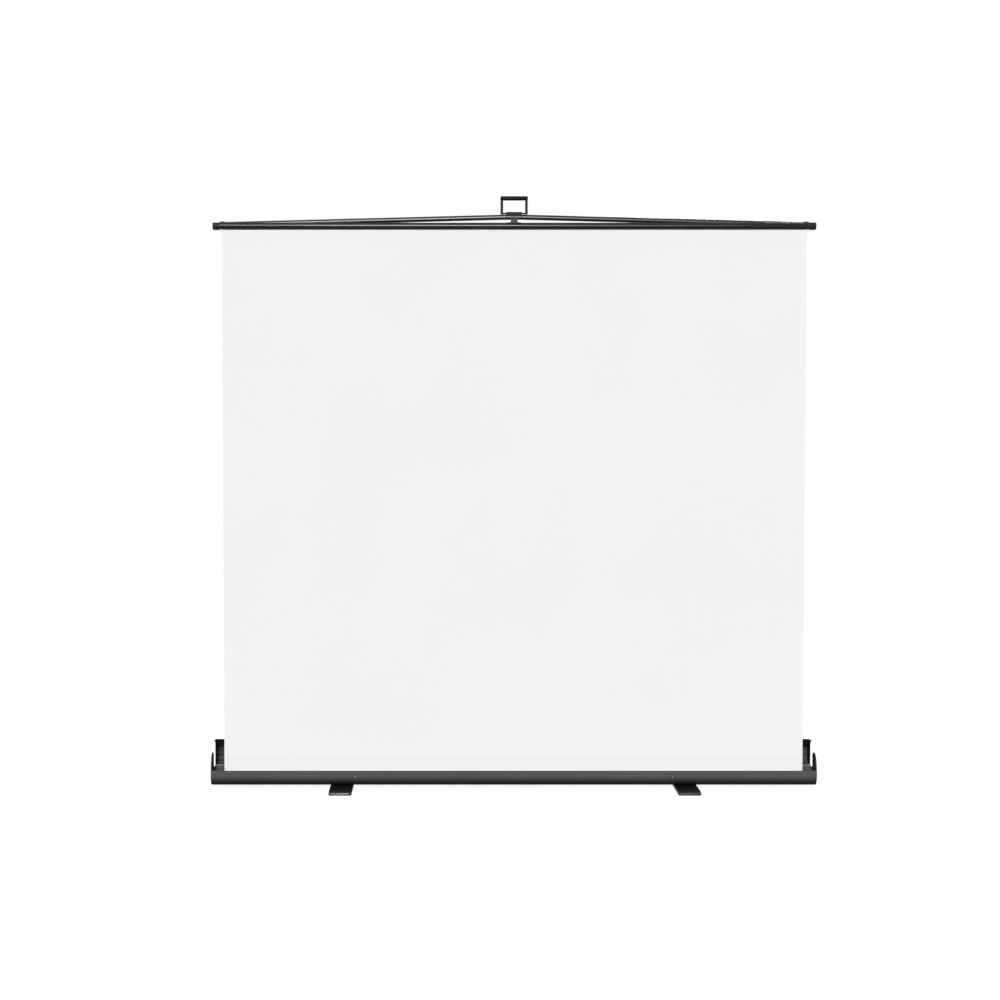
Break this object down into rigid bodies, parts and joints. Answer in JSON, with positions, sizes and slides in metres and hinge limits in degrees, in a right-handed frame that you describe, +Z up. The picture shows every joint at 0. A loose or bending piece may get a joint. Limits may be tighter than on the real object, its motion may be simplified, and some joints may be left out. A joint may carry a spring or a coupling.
{
  "type": "portable projector screen",
  "caption": "Floor-standing pull-up projector screen: white fabric drawn from a long case by a gear-linked scissor, with swivel feet and a hinged lid.",
  "frame": {"origin": "floor level, midway between the two feet and between their front and rear ends", "axes": "+X along the case to the viewer's right, +Y from the screen's white face to its back, +Z up"},
  "size_m": [2.087, 0.31, 2.036],
  "materials": {
    "case_shell": "satin black",
    "black_metal": "satin black",
    "plated": "zinc plated",
    "handle_metal": "satin black",
    "black_plastic": "fine grain",
    "tube_aluminium": "dark anodised",
    "screen_fabric": "matt white front, black back"
  },
  "bodies": {
    "case": {"case_tub": "case_shell", "end_cap_left": "black_plastic", "end_cap_right": "black_plastic", "case_hinge_leaf_left": "black_metal", "case_hinge_leaf_right": "black_metal", "foot_bolt_left": "plated", "foot_bolt_right": "plated", "roller_bracket_left": "black_metal", "roller_bracket_right": "black_metal", "spring_rod": "plated", "torsion_spring": "plated", "fabric_sheet": "screen_fabric", "base_bracket": "black_metal", "base_pin_left": "plated", "base_pin_right": "plated"},
    "lid": {"case_lid": "case_shell", "lid_end_wall_left": "black_plastic", "lid_end_wall_right": "black_plastic", "lid_hinge_leaf_left": "plated", "lid_hinge_leaf_right": "plated"},
    "foot_left": {"foot_bar_left": "case_shell", "foot_shoe_left_front": "black_plastic", "foot_shoe_left_rear": "black_plastic"},
    "foot_right": {"foot_bar_right": "case_shell", "foot_shoe_right_front": "black_plastic", "foot_shoe_right_rear": "black_plastic"},
    "latch_left": {"latch_button_left": "plated"},
    "latch_right": {"latch_button_right": "plated"},
    "roller": {"roller_tube": "plated", "fabric_roll": "screen_fabric", "roller_plug_left": "black_plastic", "roller_plug_right": "black_plastic"},
    "lower_arm_right": {"lower_arm_right": "black_metal", "lower_elbow_pin_right": "plated"},
    "lower_arm_left": {"lower_arm_left": "black_metal", "lower_elbow_pin_left": "plated"},
    "cross_bar_front": {"cross_bar_front": "black_metal", "centre_pin": "plated", "upper_elbow_pin_left": "plated"},
    "cross_bar_rear": {"cross_bar_rear": "black_metal", "upper_elbow_pin_right": "plated"},
    "upper_arm_left": {"upper_arm_left": "black_metal"},
    "upper_arm_right": {"upper_arm_right": "black_metal"},
    "crossbar": {"lower_tube": "tube_aluminium", "bowed_tube": "tube_aluminium", "end_block_left": "black_plastic", "end_block_right": "black_plastic", "fabric_clip_left": "black_plastic", "fabric_clip_right": "black_plastic", "apex_bracket": "black_metal", "centre_post": "black_metal", "handle_bracket": "black_plastic", "apex_pin_left": "plated", "apex_pin_right": "plated"},
    "handle": {"pull_handle": "handle_metal", "handle_grip": "black_plastic"},
    "strut_rod_right": {"strut_rod_right": "plated"},
    "strut_cylinder_right": {"strut_cylinder_right": "black_plastic"},
    "strut_rod_left": {"strut_rod_left": "plated"},
    "strut_cylinder_left": {"strut_cylinder_left": "black_plastic"}
  },
  "joints": [
    {"name": "fold", "type": "hinge", "parent": "case", "child": "lower_arm_right", "pos_m": [0.014, 0.0155, 0.037], "axis": [0, 1, 0], "range_deg": [0, 63.99], "deforming": ["fabric_sheet"]},
    {"name": "lower_arm_left_turn", "type": "hinge", "parent": "case", "child": "lower_arm_left", "pos_m": [-0.014, 0.0155, 0.037], "axis": [0, 1, 0], "range_deg": [-64.12, 0]},
    {"name": "lower_elbow_right", "type": "hinge", "parent": "lower_arm_right", "child": "cross_bar_front", "pos_m": [0.24862, 0.0127, 0.54107], "axis": [0, 1, 0], "range_deg": [-127.36, 0]},
    {"name": "lower_elbow_left", "type": "hinge", "parent": "lower_arm_left", "child": "cross_bar_rear", "pos_m": [-0.24862, 0.0183, 0.54107], "axis": [0, 1, 0], "range_deg": [0, 127.36]},
    {"name": "upper_elbow_left", "type": "hinge", "parent": "cross_bar_front", "child": "upper_arm_left", "pos_m": [-0.21372, 0.0127, 1.49493], "axis": [0, 1, 0], "range_deg": [0, 127.5]},
    {"name": "apex_left", "type": "hinge", "parent": "upper_arm_left", "child": "crossbar", "pos_m": [-0.014, 0.0155, 1.927], "axis": [0, 1, 0], "range_deg": [-64.28, 0]},
    {"name": "apex_right", "type": "hinge", "parent": "crossbar", "child": "upper_arm_right", "pos_m": [0.014, 0.0155, 1.927], "axis": [0, 1, 0], "range_deg": [-64.28, 0]},
    {"name": "strut_right_turn", "type": "hinge", "parent": "case", "child": "strut_rod_right", "pos_m": [0, -0.0014, 0.037], "axis": [0, 1, 0], "range_deg": [0, 72.26]},
    {"name": "strut_right_slide", "type": "slide", "parent": "strut_rod_right", "child": "strut_cylinder_right", "axis": [-0.2794, 0, -0.9602], "range_m": [0, 0.2378]},
    {"name": "strut_left_turn", "type": "hinge", "parent": "case", "child": "strut_rod_left", "pos_m": [0, 0.0324, 0.037], "axis": [0, 1, 0], "range_deg": [-72.26, 0]},
    {"name": "strut_left_slide", "type": "slide", "parent": "strut_rod_left", "child": "strut_cylinder_left", "axis": [0.2794, 0, -0.9602], "range_m": [0, 0.2378]},
    {"name": "roller_turn", "type": "hinge", "parent": "case", "child": "roller", "pos_m": [0, -0.023, 0.038], "axis": [1, 0, 0], "continuous": true},
    {"name": "lid_hinge", "type": "hinge", "parent": "case", "child": "lid", "pos_m": [0, 0.046, 0.063], "axis": [1, 0, 0], "range_deg": [0, 15]},
    {"name": "handle_fold", "type": "hinge", "parent": "crossbar", "child": "handle", "pos_m": [0, 0.013, 1.9767], "axis": [1, 0, 0], "range_deg": [-90, 90]},
    {"name": "foot_left_swivel", "type": "hinge", "parent": "case", "child": "foot_left", "pos_m": [-0.5925, 0, 0.006], "axis": [0, 0, 1], "range_deg": [0, 90]},
    {"name": "foot_right_swivel", "type": "hinge", "parent": "case", "child": "foot_right", "pos_m": [0.5925, 0, 0.006], "axis": [0, 0, 1], "range_deg": [-90, 0]},
    {"name": "latch_left_press", "type": "slide", "parent": "case", "child": "latch_left", "axis": [0, 1, 0], "range_m": [0, 0.0015], "stiffness_N_per_m": 600},
    {"name": "latch_right_press", "type": "slide", "parent": "case", "child": "latch_right", "axis": [0, 1, 0], "range_m": [0, 0.0015], "stiffness_N_per_m": 600}
  ],
  "couplings": [
    {"joint": "lower_arm_left_turn", "follows": "fold", "ratio": -1},
    {"joint": "lower_elbow_right", "follows": "fold", "ratio": -1.9861},
    {"joint": "lower_elbow_left", "follows": "fold", "ratio": 1.9861},
    {"joint": "upper_elbow_left", "follows": "fold", "ratio": 1.9885},
    {"joint": "apex_left", "follows": "fold", "ratio": -1.0023},
    {"joint": "apex_right", "follows": "fold", "ratio": -1.0023},
    {"joint": "strut_right_turn", "follows": "fold", "ratio": 1.1268},
    {"joint": "strut_right_slide", "follows": "fold", "m_per_rad": 0.21243},
    {"joint": "strut_left_turn", "follows": "fold", "ratio": -1.1268},
    {"joint": "strut_left_slide", "follows": "fold", "m_per_rad": 0.21243}
  ]
}
